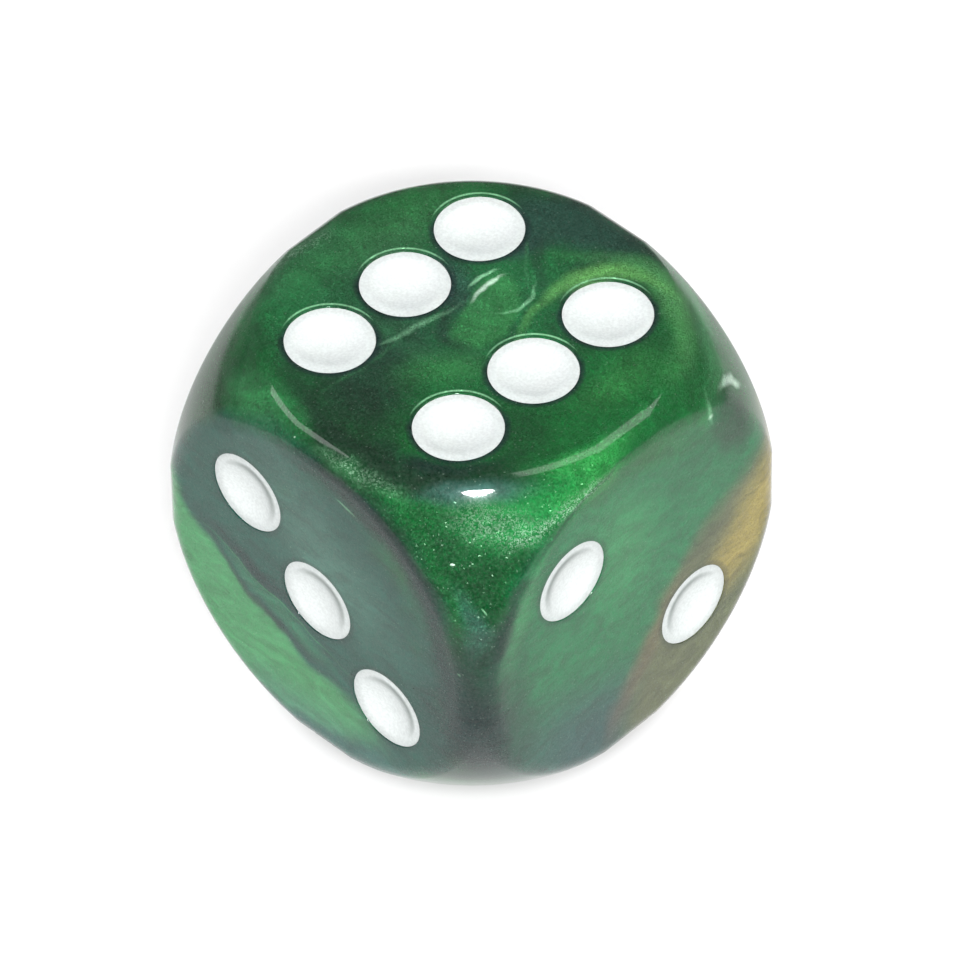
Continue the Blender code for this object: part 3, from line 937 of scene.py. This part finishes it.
def add_light(name, way, distance, size, watts, turn=0.0):
    """An area light that faces the die, its width level before it turns about its own middle."""
    light = bpy.data.lights.new(name, "AREA")
    light.shape = "RECTANGLE"
    light.size, light.size_y = size
    light.energy = watts
    made = bpy.data.objects.new(name, light)
    bpy.context.scene.collection.objects.link(made)
    outward = towards(*way)
    made.location = outward * distance
    turned = Matrix.Rotation(math.radians(turn), 3, "Z")
    made.rotation_euler = (outward.to_track_quat("Z", "Y").to_matrix() @ turned).to_euler()
    return made


class DIE_OT_stage(bpy.types.Operator):
    """Makes the floor, the lights and the camera"""

    bl_idname = "die.stage"
    bl_label = "Floor, lights and camera"

    def execute(self, context):
        scene = context.scene
        board = bpy.data.meshes.new("board")
        sides = ((-1, -1), (1, -1), (1, 1), (-1, 1))
        corners = [(x * BOARD_REACH, y * BOARD_REACH, CAD_LOW.z) for x, y in sides]
        board.from_pydata(corners, (), [(0, 1, 2, 3)])
        board.materials.append(pale_board(scene.die_colours))
        floor = bpy.data.objects.new("board", board)
        scene.collection.objects.link(floor)

        flash = add_light("flash", FLASH_WAY, FLASH_DISTANCE, FLASH_SIZE, FLASH_WATTS)
        flash.data.spread = math.radians(FLASH_SPREAD)
        flash.data.shape = "ELLIPSE"
        right = (RIGHT_STRIP_SIZE, RIGHT_STRIP_WATTS, RIGHT_STRIP_TURN)
        add_light("strip_right", RIGHT_STRIP_WAY, STRIP_DISTANCE, *right)
        left = (LEFT_STRIP_SIZE, LEFT_STRIP_WATTS, LEFT_STRIP_TURN)
        add_light("strip_left", LEFT_STRIP_WAY, STRIP_DISTANCE, *left)

        world = bpy.data.worlds.new("room")
        scene.world = world
        world.use_nodes = True
        world.node_tree.nodes["Background"].inputs["Color"].default_value = (*[ROOM_LIGHT] * 3, 1)

        data = bpy.data.cameras.new("camera")
        data.lens = CAMERA_LENS
        data.shift_x, data.shift_y = CAMERA_SHIFT
        data.clip_start = 10 * MM
        camera = bpy.data.objects.new("camera", data)
        scene.collection.objects.link(camera)
        way = towards(CAMERA_AZIMUTH, CAMERA_ELEVATION)
        camera.location = way * CAMERA_DISTANCE
        roll = Matrix.Rotation(math.radians(CAMERA_ROLL), 3, "Z")
        camera.rotation_euler = (way.to_track_quat("Z", "Y").to_matrix() @ roll).to_euler()
        scene.camera = camera
        scene.view_settings.view_transform = "Standard"
        return {"FINISHED"}


class DIE_PT_panel(bpy.types.Panel):
    """Lists what makes the die and the sizes that it uses"""

    bl_idname = "DIE_PT_panel"
    bl_label = "Gaming die"
    bl_space_type = "VIEW_3D"
    bl_region_type = "UI"
    bl_category = "Gaming die"

    def draw(self, context):
        for group in (context.scene.die_sizes, context.scene.die_colours):
            for name in type(group).__annotations__:
                self.layout.prop(group, name)
        for operator in (DIE_OT_body, DIE_OT_pips, DIE_OT_stage):
            self.layout.operator(operator.bl_idname)


CLASSES = (DieSizes, DieColours, DIE_OT_body, DIE_OT_pips, DIE_OT_stage, DIE_PT_panel)


def register():
    for cls in CLASSES:
        bpy.utils.register_class(cls)
    bpy.types.Scene.die_sizes = bpy.props.PointerProperty(type=DieSizes)
    bpy.types.Scene.die_colours = bpy.props.PointerProperty(type=DieColours)


def unregister():
    del bpy.types.Scene.die_colours
    del bpy.types.Scene.die_sizes
    for cls in reversed(CLASSES):
        bpy.utils.unregister_class(cls)


def main():
    register()
    bpy.ops.die.body()
    bpy.ops.die.pips()
    bpy.ops.die.stage()


if __name__ == "__main__":
    main()
